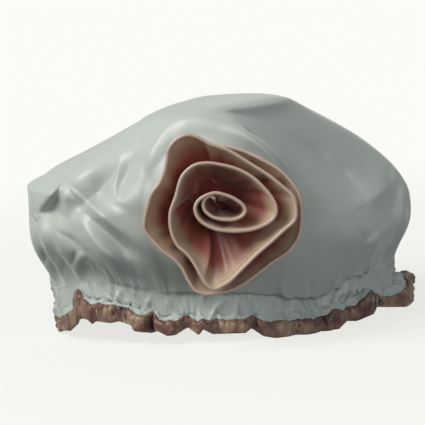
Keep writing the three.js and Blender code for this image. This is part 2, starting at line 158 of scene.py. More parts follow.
# Elastic: half its thickness, its ribs along it, and its ends, which lap at the back, one behind the other
ELASTIC_WIDTH = 6.0
ELASTIC_HALF = 0.36
ELASTIC_EDGE_HALF = 0.2
ELASTIC_RIBS = 6
RIB_DEPTH = 0.1
ELASTIC_LAP = 14.0
ELASTIC_SHIFT = 0.65
ELASTIC_STEPS = 400

# Rows of stitches: spacing, and (length of a stitch, radius of the thread)
CHANNEL_SPACING = 3.0
CHANNEL_STITCH = (2.4, 0.2)
TAPE_SPACING = 2.8
TAPE_STITCH = (2.2, 0.25)

# Place of the thread: off the cloth, and on the tape as (share of the ruffle below its edge, off the tape)
THREAD_OFF = 0.1
TAPE_SEAM = (0.06, 0.3)

# Hand stitches of the rose: length and radius, inset from the felt's edge, slant sideways and inward
WHIP_COUNT = 32
WHIP_STITCH = (3.4, 0.3)
WHIP_INSET = 0.4
WHIP_SLANT = (0.4, 0.5)

# Zigzag of the elastic: stitch length and radius, half its length and width, distance inside the mouth
ZIGZAG_COUNT = 12
ZIGZAG_STITCH = (4.2, 0.22)
ZIGZAG_REACH = (4.2, 2.0)
ZIGZAG_INSIDE = 1.4

# Columns round the cap, crowded toward the front, and rows of each zone of its cloth
# The first row lies a small share from the peak
COLUMNS = 640
FRONT_CROWDING = 0.3
PEAK_GAP = 0.012
UPPER_ROWS = 78
LOWER_ROWS = 46
CROWN_ROWS = UPPER_ROWS + LOWER_ROWS
CHANNEL_ROWS = 9
RUFFLE_ROWS = 20

# Rose: its seat on the crown, its axis away from it, and its own right and up
ROSE_TILT = math.radians(4.0)
ROSE_SEAT = np.array([0.0, -97.0, 82.0])
ROSE_AXIS = np.array([0.0, -math.cos(ROSE_TILT), math.sin(ROSE_TILT)])
ROSE_RIGHT = np.array([1.0, 0.0, 0.0])
ROSE_UP = np.cross(ROSE_AXIS, ROSE_RIGHT)

# Felt behind the rose, and how near to its seat the crown is pressed flat
CLEARANCE = 0.3
FELT_RADIUS = 30.0
FELT_THICKNESS = 1.5
FELT_RAGGED = 0.006
FELT_STEPS = 96
STITCH_REACH = 1.2
PRESS_REACH = (24.0, 48.0)

# Strip of the rose: its unfolded width, the level of its foot, and how its petals lean out over the foot
STRIP_WIDTH = 64.0
STRIP_FOOT = FELT_THICKNESS + 2 * CLEARANCE
PETAL_OPENING = 1.3
STRIP_STEPS = 760
WALL_ROWS = 26

# Foot of the strip: its spread as a share of the rim's, and its shift, full only in the middle turns
FOOT_SPREAD = 0.4
FOOT_SHIFT = (-4.0, 9.0)
SHIFT_ALONG = [(0, 0), (0.12, 0.2), (0.25, 1), (0.45, 1), (0.6, 0), (1, 0)]

# Half thickness of the folded strip at its foot, its gain toward the rim, and the bead of its fold
STRIP_HALF = (0.3, 0.3, 0.45)

# Creases of the strip: small pleats at its foot, and billows half way up
FOOT_PLEATS = 0.3
BILLOWS = 1.6

# One deep pleat: its share along the strip, its depth, the swell that leads to it, and half its own length
PLEAT_ALONG = 0.388
PLEAT_DEPTH = 5.0
PLEAT_SWELL = 20.0
PLEAT_HALF = 1.5

# Lamps: name, place and width in metres, watts, colour
LAMPS = [
    ("key", (-1.15, -0.65, 1.3), 1.1, 31.0, "#fffdf8"),
    ("fill", (0.7, -1.8, 0.4), 1.0, 8.5, "#f8faff"),
]


def smoothstep(low, high, value):
    share = np.clip((value - low) / (high - low), 0.0, 1.0)
    return share * share * (3.0 - 2.0 * share)


def unit(vectors):
    length = np.linalg.norm(vectors, axis=-1, keepdims=True)
    return vectors / np.maximum(length, 1e-9)


def spline(points, places):
    """Catmull-Rom curve through points, at places counted in points."""
    points = np.asarray(points, float)
    last = len(points) - 1
    index = np.clip(np.floor(places).astype(int), 0, last - 1)
    t = (places - index)[..., None]
    p0 = points[np.maximum(index - 1, 0)]
    p1 = points[index]
    p2 = points[index + 1]
    p3 = points[np.minimum(index + 2, last)]
    bend = (2 * p0 - 5 * p1 + 4 * p2 - p3) * t**2 + (3 * p1 - p0 - 3 * p2 + p3) * t**3
    return 0.5 * (2 * p1 + (p2 - p0) * t + bend)


def running_length(line):
    """Length along a line of points, at each of them."""
    return np.concatenate([[0.0], np.linalg.norm(np.diff(line, axis=0), axis=1).cumsum()])


def at_lengths(line, length, places):
    """Points of a line at places along it, given its running length."""
    return np.stack([np.interp(places, length, line[:, k]) for k in range(3)], axis=-1)


def wander(angle, seed, counts):
    """Smooth random wave, from -1 to 1, made of a few sine waves; whole counts close up round the cap."""
    phases = np.random.default_rng(seed).uniform(0, 2 * math.pi, len(counts))
    waves = [np.sin(count * angle + phase) for count, phase in zip(counts, phases)]
    return sum(waves) / len(waves)


# Photograph: from points of the object to pixels, and back to planes
def camera_axes():
    """Directions of the camera: forward, and right and up in its turned picture."""
    forward = np.array([0.0, math.cos(VIEW_ELEVATION), -math.sin(VIEW_ELEVATION)])
    level = np.array([1.0, 0.0, 0.0])
    upright = np.cross(level, forward)
    rightward = math.cos(VIEW_ROLL) * level - math.sin(VIEW_ROLL) * upright
    upward = math.sin(VIEW_ROLL) * level + math.cos(VIEW_ROLL) * upright
    return forward, rightward, upward


FORWARD, RIGHTWARD, UPWARD = camera_axes()
EYE = AIM - VIEW_DISTANCE * FORWARD
FOCAL = VIEW_DISTANCE / PIXEL


def to_pixels(points):
    away = points - EYE
    depth = away @ FORWARD
    across = PHOTO_SIZE / 2 + FOCAL * (away @ RIGHTWARD) / depth
    down = PHOTO_SIZE / 2 - FOCAL * (away @ UPWARD) / depth
    return np.stack([across, down], axis=-1)


def onto_planes(pixels, origins, normal):
    """Points where the sight lines of pixels meet planes, one plane for each pixel."""
    sideways = (pixels[:, :1] - PHOTO_SIZE / 2) / FOCAL * RIGHTWARD
    upright = (PHOTO_SIZE / 2 - pixels[:, 1:]) / FOCAL * UPWARD
    sight = FORWARD + sideways + upright
    reach = ((origins - EYE) @ normal) / (sight @ normal)
    return EYE + reach[:, None] * sight


# Cap surface
def swell(angle, middle, half_width):
    """Bell that is 1 at a place round the mouth, and fades on both sides of it, in degrees."""
    aside = (np.degrees(angle) - middle + 180) % 360 - 180
    return np.exp(-((aside / half_width) ** 2))


def blend_round(angle, right, back, left, front):
    side = np.where(np.cos(angle) > 0, right, left)
    end = np.where(np.sin(angle) > 0, back, front)
    return side * np.cos(angle) ** 2 + end * np.sin(angle) ** 2


def oval(angle, half):
    return np.stack([half[0] * np.cos(angle), half[1] * np.sin(angle)], axis=-1)


def outward_at(angle):
    return unit(oval(angle, (MOUTH[1], MOUTH[0])))


def raised(flat, height):
    return np.concatenate([flat, np.broadcast_to(height, flat.shape[:-1])[..., None]], axis=-1)


def shoulder_height(angle):
    return GIRTH_HEIGHT - SHOULDER_RISE * np.cos(angle)


def upper_crown(angle, along):
    places = along * (len(PROFILES[0]) - 2)
    shares = [spline(profile, places) for profile in PROFILES]
    outward = blend_round(angle, *[share[..., 0] for share in shares])[..., None]
    upward = blend_round(angle, *[share[..., 1] for share in shares])
    flat = (1 - outward) * np.array(PEAK) + outward * oval(angle, GIRTH)
    shoulder = shoulder_height(angle)
    return raised(flat, shoulder + (PEAK_HEIGHT - shoulder) * upward)


def sag(angle, along):
    """How far the crown hangs down over the elastic, most of all close above it."""
    depth = sum(height * swell(angle, middle, half_width) for middle, half_width, height in SAGS)
    return depth * smoothstep(0.3, 0.9, along) * (1 - smoothstep(0.9, 1.0, along))


def lower_crown(angle, along):
    late = blend_round(angle, *TUCK)
    drawn_in = (np.sin(along * math.pi / 2) ** late)[..., None]
    flat = oval(angle, GIRTH) * (1 - drawn_in) + oval(angle, SEAM) * drawn_in
    hanging = sag(angle, along)
    flat = flat + SAG_STAND * hanging[..., None] * outward_at(angle)
    shoulder = shoulder_height(angle)
    return raised(flat, shoulder + (ELASTIC_HEIGHT + CHANNEL / 2 - shoulder) * along - hanging)


def channel_wall(angle, along):
    return raised(oval(angle, SEAM), ELASTIC_HEIGHT + CHANNEL * (0.5 - along))


def traced_height(flat, angle, edge, otherwise):
    """Height at which points appear on an edge traced along the front, and another height round the back."""
    floor = raised(flat, 0.0)
    pixels = to_pixels(floor)
    traced = (pixels[..., 1] - np.interp(pixels[..., 0], *np.array(edge).T)) * PIXEL
    height = traced * ((floor - EYE) @ FORWARD) / (UPWARD[2] * VIEW_DISTANCE)
    front = smoothstep(0.08, 0.3, -np.sin(angle))
    return otherwise + (height - otherwise) * front


def drawn_up(angle):
    """How far the gathers pull the channel up from its level, or down."""
    level = ELASTIC_HEIGHT + CHANNEL / 2
    uneven = GATHER_SWAY * wander(angle, 29, [6, 11, 17, 29])
    jag = GATHER_JAG * wander(angle, 31, [37, 53, 71])
    return traced_height(oval(angle, SEAM), angle, GATHER_EDGE, level + uneven) - level + jag


def lobe_phase(angle):
    """Turns of the ruffle's wave, a whole number at the tip of each lobe."""
    behind = np.linspace(FRONT_LOBES[-1], FRONT_LOBES[0] + 360, BACK_LOBES + 1)[1:]
    knots = np.radians(np.concatenate([FRONT_LOBES, behind]))
    turned = (angle - knots[0]) % (2 * math.pi) + knots[0]
    return np.interp(turned, knots, np.arange(len(knots)))


def ruffle_hang(angle):
    """How far the ruffle stands out and puffs up, and the height of its hem."""
    degrees, *columns = np.array(RUFFLE_HANG).T
    outward, puff, hem = [np.interp(np.degrees(angle), degrees, column, period=360) for column in columns]
    for middle, half_width, rise, stand in PINCHES:
        pinch = swell(angle, middle, half_width)
        puff = puff + rise * pinch
        outward = outward + stand * pinch
    return outward, puff, hem


def pucker(angle, along):
    """Uneven puckers that fan out from the gathers: along is -1 there, 0 under the elastic, 1 at the hem."""
    uneven = 0.7 + 0.7 * wander(angle, 9, [5, 8, 13])
    lean = 0.13 * (along + 1.2) * wander(angle, 13, [6, 11, 17])
    broken = 0.55 + 0.45 * np.sin(3.5 * along + 7 * wander(angle, 15, [13, 19]))
    broad = 1 - np.abs(wander(angle + lean, 5, [31, 43, 59]))
    fine = 1 - np.abs(wander(angle - 0.7 * lean, 6, [67, 97]))
    return uneven * (PUCKERS[0] * broad**3 + PUCKERS[1] * fine**4) * broken


def crumple(angle, along):
    """Small sharp crumples of the ruffle, folded across as well as down."""
    down = 5 * along + 3 * wander(angle, 41, [17, 23])
    return np.abs(wander(angle + 0.02 * np.sin(down), 43, [89, 117, 148])) * np.cos(down) ** 2


def ruffle(angle, along):
    phase = lobe_phase(angle)
    wave = 2 * np.abs(np.cos(math.pi * phase)) ** 0.7 - 1
    strength = 1 + 0.5 * wander(angle, 3, [3, 7, 11])
    opened = 0.7 * smoothstep(0.0, 0.7, along) + 0.3 * along
    outward, puff, hem = ruffle_hang(angle)
    crinkle = pucker(angle, along) * (1 - 0.5 * along) + RUFFLE_CRUMPLE * crumple(angle, along) * opened
    lean = RUFFLE_LEAN * (0.5 * np.sin(4 * math.pi * phase) + wander(angle, 7, [9, 14, 23])) * opened
    stand = outward * smoothstep(0.0, 0.8, along) + RUFFLE_DEPTH * strength * wave * opened + crinkle
    away = outward_at(angle)
    sideways = np.stack([-away[..., 1], away[..., 0]], axis=-1)
    flat = oval(angle, SEAM) + away * stand[..., None] + sideways * lean[..., None]
    top = ELASTIC_HEIGHT - CHANNEL / 2 + drawn_up(angle)
    hem = np.maximum(traced_height(flat, angle, HEM_EDGE, hem - TAPE_FOLD), 0.0) + TAPE_FOLD
    fallen = 0.6 * along + 0.4 * (1 - np.cos(along * math.pi / 2))
    drop = (top - hem) * fallen - puff * np.sin(along * math.pi)
    return raised(flat, top - drop)


def column_angles():
    even = np.arange(COLUMNS) / COLUMNS * 2 * math.pi
    return even - FRONT_CROWDING * np.cos(even)


def cap_rows():
    """Zone of the cloth and place along it, for each row from the peak to the hem."""
    rows = []
    for zone, first, count in ((upper_crown, PEAK_GAP, UPPER_ROWS), (lower_crown, 0, LOWER_ROWS),
                               (channel_wall, 0, CHANNEL_ROWS)):
        rows += [(zone, along) for along in np.linspace(first, 1, count, endpoint=False)]
    return rows + [(ruffle, along) for along in np.linspace(0, 1, RUFFLE_ROWS)]


def grid_normals(grid):
    down = np.gradient(grid, axis=0)
    round_cap = np.roll(grid, -1, axis=1) - np.roll(grid, 1, axis=1)
    return unit(np.cross(down, round_cap))


# Folds of the crown: crest line as pixels with the height there, and width on its left and right hand
FOLDS = [
    # left shoulder with the crease over it, the pocket under it, and the pleats between it and the rose
    ([(118, 146, 0), (98, 154, 9), (81, 166, 13), (64, 180, 12)], 16, 6),
    ([(110, 143, 0), (92, 152, -4), (78, 161, -4), (64, 172, 0)], 4, 4),
    ([(84, 201, 0), (90, 198, -14), (97, 193, -22), (104, 184, -14), (109, 172, 0)], 15, 8),
    ([(115, 146, 0), (111, 170, 3), (109, 190, 4), (104, 205, 3), (97, 211, 0)], 7, 6),
    ([(137, 150, 0), (129, 168, -7), (121, 186, -8), (114, 200, 0)], 6, 11),
    ([(152, 147, 0), (141, 166, 3), (130, 186, 3), (119, 204, 0)], 10, 6),
    # flap at the left end: the two sides of its mouth, its inside, and the fold that runs out of it
    ([(64, 180, 12), (57, 188, 12), (47, 201, 10), (38, 212, 7), (33, 221, 0)], 5, 9),
    ([(66, 184, 0), (60, 196, -7), (51, 211, -7), (38, 219, 0)], 13, 6),
    ([(64, 180, 12), (78, 193, 12), (92, 206, 11), (112, 224, 9), (130, 240, 5), (142, 251, 0)], 6, 5),
    ([(74, 198, 0), (96, 220, -3), (112, 238, -6), (124, 250, -6), (134, 260, 0)], 8, 8),
    ([(70, 206, 0), (80, 219, 4), (92, 236, 8), (104, 250, 9), (114, 260, 7), (124, 274, 0)], 8, 8),
    ([(32, 216, 0), (46, 224, -3), (62, 233, -3), (80, 246, -3), (95, 258, -3), (112, 276, 0)], 3, 4),
    ([(34, 216, 0), (39, 229, 13), (43, 244, 10), (49, 260, 0)], 12, 6),
    # gathers at the left end of the elastic
    ([(40, 248, 0), (48, 255, -2), (55, 264, -2), (62, 284, 0)], 3, 4),
    ([(64, 254, 0), (65, 265, -2), (64, 284, 0)], 3, 3),
    ([(75, 246, 0), (74, 262, -2), (70, 284, 0)], 3, 2),
    ([(52, 248, 0), (58, 262, 2), (62, 284, 0)], 3, 3),
    ([(84, 250, 0), (80, 262, 4), (74, 284, 0)], 5, 4),
    # arc round the top of the rose, the hollow above it, and the front edge of the flat top
    ([(142, 178, 0), (148, 160, 4), (156, 144, 5), (168, 127, 6), (180, 120, 8), (196, 117, 9),
      (213, 118, 10), (230, 123, 11), (250, 138, 11), (264, 149, 10), (277, 161, 7),
      (293, 182, 0)], 6, 12),
    ([(194, 115, 0), (212, 114, -4), (232, 116, -4), (252, 122, 0)], 10, 5),
    ([(190, 120, 0), (206, 115, 4), (231, 110, 5), (258, 107, 5), (280, 103, 3), (296, 98, 0)], 8, 4),
    # right shoulder and right end
    ([(294, 138, 0), (315, 150, -3), (330, 164, -4), (347, 176, -4), (364, 195, 0)], 4, 8),
    ([(356, 207, 0), (374, 198, 5), (390, 184, 5), (398, 170, 0)], 12, 8),
    ([(393, 170, 0), (402, 186, 3), (403, 206, 3), (398, 226, 0)], 6, 6),
    ([(386, 166, 0), (391, 188, -3), (391, 212, 0)], 4, 4),
    ([(386, 224, 0), (364, 242, -3), (356, 264, -3), (343, 288, 0)], 4, 5),
    ([(377, 246, 0), (368, 262, 2.5), (357, 285, 0)], 4, 4),
    ([(388, 246, 0), (378, 264, -2.5), (366, 284, 0)], 3.5, 3.5),
    ([(393, 252, 0), (386, 266, 2), (378, 282, 0)], 3, 3),
    # crease at the lower right of the rose
    ([(288, 268, 0), (282, 284, 2.5), (288, 298, 2.5), (292, 312, 0)], 2, 3.5),
]

# Folds of the back: degrees round the crown, lean in degrees, half width in degrees, height
BACK_FOLDS = [(22, 12, 6, 3.0), (48, -10, 7, 3.2), (70, 14, 6, -2.6), (92, -12, 8, 3.4), (114, 10, 6, 2.8),
              (138, -14, 7, -3.0), (158, 8, 6, 3.0)]


def fold_height(pixels, path, left, right):
    """Height of one fold at pixels: as given along its path, fading to both sides."""
    dense = spline(path, np.linspace(0, len(path) - 1, 10 * (len(path) - 1) + 1))
    corners = dense[:, :2]
    step = np.diff(corners, axis=0)
    length = np.linalg.norm(step, axis=1)
    highest = np.zeros(pixels.shape[:-1])
    lowest = np.zeros(pixels.shape[:-1])
    for k in range(len(step)):
        off = pixels - corners[k]
        along = np.clip((off @ step[k]) / length[k] ** 2, 0.0, 1.0)
        away = off - along[..., None] * step[k]
        side = np.sign(step[k, 0] * off[..., 1] - step[k, 1] * off[..., 0])
        distance = np.linalg.norm(away, axis=-1) * PIXEL
        crest = dense[k, 2] + along * (dense[k + 1, 2] - dense[k, 2])
        height = crest * np.exp(-((distance / np.where(side > 0, right, left)) ** 1.35))
        highest = np.maximum(highest, height)
        lowest = np.minimum(lowest, height)
    return highest + lowest


def near_path(pixels, path, margin):
    corners = np.asarray(path, float)[:, :2]
    low = corners.min(axis=0) - margin
    high = corners.max(axis=0) + margin
    return np.all((pixels > low) & (pixels < high), axis=-1)


def traced_folds(grid, normals):
    pixels = to_pixels(grid)
    facing = smoothstep(0.0, 0.25, -(normals @ FORWARD))
    ridges = np.zeros(grid.shape[:-1])
    valleys = np.zeros(grid.shape[:-1])
    for path, left, right in FOLDS:
        near = near_path(pixels, path, 3 * max(left, right) / PIXEL)
        height = fold_height(pixels[near], path, left, right)
        ridges[near] = np.maximum(ridges[near], height)
        valleys[near] = np.minimum(valleys[near], height)
    return (ridges + valleys) * facing


def back_folds(angle, along):
    """Soft folds down the back of the crown, with along from 0 at the peak to 1 at the elastic."""
    height = np.zeros(np.broadcast(angle, along).shape)
    for middle, lean, half_width, rise in BACK_FOLDS:
        height += rise * swell(angle, middle + lean * (along - 0.6), half_width)
    return height * smoothstep(0.25, 0.6, along) * (1 - 0.5 * smoothstep(0.85, 1.0, along))


def gathers(angle, along, past):
    """Small gathers that rise from the elastic, stronger round the sides and back than in front.

    Along runs from 0 at the peak to 1 at the channel, and past from 0 there to 1 under the elastic.
    """
    front = np.clip(-np.sin(angle), 0, 1) ** 2
    strength = 1 - 0.7 * front
    fading = smoothstep(0.55, 0.9, along) * (1 - smoothstep(0.93, 1.0, along))
    broad = GATHERS * wander(angle, 11, [19, 26, 33]) * fading
    return broad * strength + pucker(angle, past - 1) * smoothstep(0.88, 1.0, along)


def from_rose(points):
    """How far points lie in front of the rose's seat, and aside from its axis."""
    from_seat = points - ROSE_SEAT
    off = from_seat @ ROSE_AXIS
    return off, np.linalg.norm(from_seat - off[..., None] * ROSE_AXIS, axis=-1)


def fallen_facet(grid):
    """The right front of the crown sinks to a plane between the flat top and the rose."""
    _, aside = from_rose(grid)
    above = np.maximum((grid - FACET_POINT) @ FACET_FACING, 0.0)
    kept = FACET_ROUNDING * (1 - np.exp(-above / FACET_ROUNDING))
    fall = (above - kept) * smoothstep(*FACET_FREE, aside)
    return grid - fall[..., None] * FACET_FACING


def pressed_flat(grid):
    """The front of the crown is drawn flat against the felt of the rose."""
    off, aside = from_rose(grid)
    flat_radius = FELT_RADIUS + STITCH_REACH
    press = 1 - smoothstep(flat_radius, 1.5 * flat_radius, aside)
    near = 1 - smoothstep(*PRESS_REACH, np.abs(off))
    return grid - ((off + CLOTH_OFF) * press * near)[..., None] * ROSE_AXIS


def eased_back(grid, angle):
    """The back of the crown bends softly over its fullest line, without the corner of the left end."""
    row = np.arange(len(grid))[:, None, None]
    soft = np.mean([np.roll(grid, step, axis=0) for step in range(-BACK_BEND, BACK_BEND + 1)], axis=0)
    near = 1 - smoothstep(BACK_BEND, 3 * BACK_BEND, np.abs(row - UPPER_ROWS))
    back = smoothstep(0.0, 0.5, np.sin(angle))[None, :, None]
    return grid + (soft - grid) * near * back


def cap_grid():
    """Points of the seam surface between satin and lining, in rows from the peak to the hem."""
    angle = column_angles()
    grid = np.array([zone(angle, np.full(COLUMNS, along)) for zone, along in cap_rows()])
    grid = eased_back(grid, angle)
    row = np.arange(len(grid))[:, None]
    down_crown = np.clip(row / CROWN_ROWS, 0, 1)
    down_channel = np.clip((row - CROWN_ROWS) / CHANNEL_ROWS, 0, 1)
    sunk = 1 - smoothstep(0.8, 1.0, down_crown)[..., None]
    grid = grid + (fallen_facet(grid) - grid) * sunk
    normals = grid_normals(grid)
    in_crown = row < CROWN_ROWS + CHANNEL_ROWS
    above_channel = 1 - smoothstep(0.97, 1.0, down_crown)
    toward_eye = traced_folds(grid, normals) * above_channel
    outward = back_folds(angle[None], down_crown) * above_channel
    outward += gathers(angle[None], down_crown, down_channel) * in_crown
    upward = drawn_up(angle[None]) * smoothstep(0.8, 1.0, down_crown) * in_crown
    painted_shade_and_sheen = grid - toward_eye[..., None] * FORWARD + outward[..., None] * normals
    return pressed_flat(painted_shade_and_sheen + upward[..., None] * Z_AXIS)


# Meshes
def new_object(name, data):
    """Object in the scene that carries a mesh, a lamp or a camera."""
    thing = bpy.data.objects.new(name, data)
    bpy.context.collection.objects.link(thing)
    return thing


def make_piece(name, points, faces, material, uvs=None):
    """Smooth mesh object from points and cloth coordinates in millimetres."""
    mesh = bpy.data.meshes.new(name)
    mesh.from_pydata((np.asarray(points) / 1000.0).tolist(), [], faces)
    if uvs is not None:
        layer = mesh.uv_layers.new(name="cloth")
        corners = np.zeros(len(mesh.loops), int)
        mesh.loops.foreach_get("vertex_index", corners)
        layer.data.foreach_set("uv", (np.asarray(uvs) / 1000.0)[corners].ravel())
    mesh.materials.append(material)
    mesh.polygons.foreach_set("use_smooth", np.ones(len(mesh.polygons), bool))
    mesh.update()
    return new_object(name, mesh)


def grid_faces(rows, columns, closed=False):
    """Quads of a grid whose columns go round; its last row meets the first where it is closed."""
    row, column = np.meshgrid(np.arange(rows if closed else rows - 1), np.arange(columns), indexing="ij")
    here = row * columns
    ahead = (row + 1) % rows * columns
    beside = (column + 1) % columns
    corners = [here + column, here + beside, ahead + beside, ahead + column]
    return np.stack(corners, axis=-1).reshape(-1, 4).tolist()


def sweep_faces(count, size, closed):
    """Quads between sections of a closed outline; the caps of an open sweep join i to size - 1 - i."""
    faces = grid_faces(count, size, closed)
    if not closed:
        last = (count - 1) * size
        for i in range(size // 2 - 1):
            cap = [i, size - 1 - i, size - 2 - i, i + 1]
            faces.append(cap)
            faces.append([last + corner for corner in reversed(cap)])
    return faces


def outward_faces(points, faces):
    """The faces of a closed mesh, turned over if they point inward."""
    corners = np.asarray(points)[np.asarray(faces)]
    spans = np.cross(corners[:, 1] - corners[:, 0], corners[:, 2] - corners[:, 0])
    spans += np.cross(corners[:, 2] - corners[:, 0], corners[:, 3] - corners[:, 0])
    volume = np.sum(corners.mean(axis=1) * spans)
    return faces if volume > 0 else [face[::-1] for face in faces]


def make_sweep(name, sections, material, closed, uvs=None):
    sections = np.asarray(sections)
    points = sections.reshape(-1, 3)
    faces = outward_faces(points, sweep_faces(len(sections), sections.shape[1], closed))
    return make_piece(name, points, faces, material, uvs)


def strip_uvs(length, across):
    """Cloth coordinates of a swept strip: along it, and round its section."""
    return np.stack(np.broadcast_arrays(length[:, None], across[None]), axis=-1).reshape(-1, 2)


# Materials
def linear(hex_colour):
    channels = [int(hex_colour[k:k + 2], 16) / 255 for k in (1, 3, 5)]
    return [c / 12.92 if c <= 0.04045 else ((c + 0.055) / 1.055) ** 2.4 for c in channels] + [1.0]


def add_node(tree, kind, sockets=None, **settings):
    """New node with values or links on its input sockets, and settings on itself."""
    node = tree.nodes.new(kind)
    for key, value in settings.items():
        setattr(node, key, value)
    for key, value in (sockets or {}).items():
        if isinstance(value, bpy.types.NodeSocket):
            tree.links.new(value, node.inputs[key])
        else:
            node.inputs[key].default_value = value
    return node


def new_material(name):
    """Empty material, its node tree, and a node for places on the object and on its cloth."""
    material = bpy.data.materials.new(name)
    material.use_nodes = True
    tree = material.node_tree
    tree.nodes.clear()
    return material, tree, add_node(tree, "ShaderNodeTexCoord")


def wave_scale(spacing):
    """Scale of a Wave texture whose bands lie a spacing in millimetres apart."""
    return 2 * math.pi / (20 * spacing / 1000.0)


def satin(name, tones, sheen, bloom, roughness, gloss, crease, painted_shade_and_sheen=False):
    """Polyester satin, woven with long floats: a silky gloss that follows the folds, with soft crumples.

    Its tones run at random over plain cloth, and from the raw edges of a folded strip to its fold:
    there, painted shade deep in the hollows gives way to painted cream sheen toward the rim.
    Crumples are as far across as a crease, in millimetres, and the patches of tone 2.5 times that.
    """
    material, tree, place = new_material(name)
    drift = add_node(tree, "ShaderNodeTexNoise", {
        "Vector": place.outputs["Object"], "Scale": 400.0 / crease, "Detail": 3.0})
    share = drift.outputs["Fac"]
    # Painted shade and sheen: the tone darkens to deep red toward the strip's raw edges, down in the
    # hollows, and pales to cream toward its fold
    if painted_shade_and_sheen:
        cloth = add_node(tree, "ShaderNodeSeparateXYZ", {"Vector": place.outputs["UV"]})
        rise = add_node(tree, "ShaderNodeMath", {
            0: cloth.outputs["Y"], 1: STRIP_WIDTH / 2000.0}, operation="PINGPONG")
        uneven = add_node(tree, "ShaderNodeMapRange", {"Value": share, 1: 0.3, 2: 0.7, 3: 0.6, 4: 1.7})
        share = add_node(tree, "ShaderNodeMath", {
            0: rise.outputs[0], 1: 2000.0 / STRIP_WIDTH}, operation="MULTIPLY").outputs[0]
        share = add_node(tree, "ShaderNodeMath", {
            0: share, 1: uneven.outputs[0]}, operation="POWER").outputs[0]
    colour = add_node(tree, "ShaderNodeValToRGB", {"Fac": share})
    ramp = colour.color_ramp.elements
    while len(ramp) < len(tones):
        ramp.new(1.0)
    for stop, (position, tone) in zip(ramp, tones):
        stop.position = position
        stop.color = linear(tone)
    crumples = add_node(tree, "ShaderNodeTexNoise", {
        "Vector": place.outputs["Object"], "Scale": 1000.0 / crease, "Detail": 2.0})
    # Real floats lie about 0.2 mm apart, which is too fine to show, so they are drawn 0.8 mm apart
    weave = add_node(tree, "ShaderNodeTexWave", {
        "Vector": place.outputs["UV"], "Scale": wave_scale(0.8), "Distortion": 0.6},
        bands_direction="DIAGONAL")
    soft = add_node(tree, "ShaderNodeBump", {
        "Height": crumples.outputs["Fac"], "Strength": 0.3, "Distance": 0.0012})
    fine = add_node(tree, "ShaderNodeBump", {
        "Height": weave.outputs["Fac"], "Strength": 0.1, "Distance": 0.0001,
        "Normal": soft.outputs["Normal"]})
    threads = add_node(tree, "ShaderNodeTangent", direction_type="UV_MAP", uv_map="cloth")
    shader = add_node(tree, "ShaderNodeBsdfPrincipled", {
        "Base Color": colour.outputs["Color"], "Roughness": roughness, "Specular IOR Level": 0.25,
        "Specular Tint": linear(sheen), "Anisotropic": 0.4, "Tangent": threads.outputs["Tangent"],
        "Sheen Weight": bloom, "Sheen Roughness": 0.4, "Sheen Tint": linear(sheen),
        "Coat Weight": gloss, "Coat Roughness": 0.6 * roughness, "Coat IOR": 1.8,
        "Normal": fine.outputs["Normal"], "Coat Normal": fine.outputs["Normal"]})
    add_node(tree, "ShaderNodeOutputMaterial", {"Surface": shader.outputs["BSDF"]})
    return material


def woven(name, light, dark, spacing=0.5, depth=0.1, roughness=0.7, sheen=0.2):
    """Plain matt textile: two crossed sets of threads that stand out a little, with uneven dye.

    The spacing is in millimetres. Elastic has its ribs' own, and finer threads and fibres, which would
    not show, are drawn as coarse as they need. Left as they are, the values are those of sewing thread.
    """
    material, tree, place = new_material(name)
    # Patches of uneven dye are about 8 mm across, or 120 to the metre
    drift = add_node(tree, "ShaderNodeTexNoise", {
        "Vector": place.outputs["Object"], "Scale": 120.0, "Detail": 4.0})
    colour = add_node(tree, "ShaderNodeMix", {
        0: drift.outputs["Fac"], 6: linear(dark), 7: linear(light)}, data_type="RGBA")
    bands = {"Vector": place.outputs["Object"], "Scale": wave_scale(spacing), "Distortion": 1.0}
    warp, weft = [add_node(tree, "ShaderNodeTexWave", bands, bands_direction=way) for way in "XZ"]
    height = add_node(tree, "ShaderNodeMath", {
        0: warp.outputs["Fac"], 1: weft.outputs["Fac"]}, operation="ADD")
    bump = add_node(tree, "ShaderNodeBump", {
        "Height": height.outputs[0], "Strength": 0.5, "Distance": depth / 1000.0})
    shader = add_node(tree, "ShaderNodeBsdfPrincipled", {
        "Base Color": colour.outputs[2], "Roughness": roughness, "Specular IOR Level": 0.3,
        "Sheen Weight": sheen, "Sheen Roughness": 0.5, "Normal": bump.outputs["Normal"]})
    add_node(tree, "ShaderNodeOutputMaterial", {"Surface": shader.outputs["BSDF"]})
    return material


# Cap pieces
def make_sheet(name, grid, off, material):
    """Open cloth sheet at a distance off the seam surface."""
    surface = grid + off[..., None] * grid_normals(grid)
    rows, columns = surface.shape[:2]
    peak = surface[0].mean(axis=0)
    above = np.concatenate([np.broadcast_to(peak, (1, columns, 3)), surface[:-1]])
    lengths = np.linalg.norm(surface - above, axis=-1).mean(axis=1).cumsum()
    spokes = oval(column_angles(), (1, 1))
    uvs = np.concatenate([(lengths[:, None, None] * spokes).reshape(-1, 2), [[0.0, 0.0]]])
    points = np.concatenate([surface.reshape(-1, 3), peak[None]])
    top = rows * columns
    faces = [[a, d, c, b] for a, b, c, d in grid_faces(rows, columns)]
    faces += [[top, column, (column + 1) % columns] for column in range(columns)]
    if off.mean() < 0:
        faces = [face[::-1] for face in faces]
    return make_piece(name, points, faces, material, uvs)


def channel_share():
    """How fully each row of the cloth lies over the elastic, from 0 to 1."""
    row = np.arange(CROWN_ROWS + CHANNEL_ROWS + RUFFLE_ROWS)
    middle = CROWN_ROWS + CHANNEL_ROWS / 2
    return 1 - smoothstep(0.3 * CHANNEL_ROWS, 0.55 * CHANNEL_ROWS, np.abs(row - middle))


def make_crown(grid, material):
    return make_sheet("crown_satin", grid, np.full(grid.shape[:2], CLOTH_OFF), material)


def make_lining(grid, material):
    off = -(CLOTH_OFF + (LINING_OFF - CLOTH_OFF) * channel_share())
    return make_sheet("lining_cloth", grid, np.broadcast_to(off[:, None], grid.shape[:2]), material)


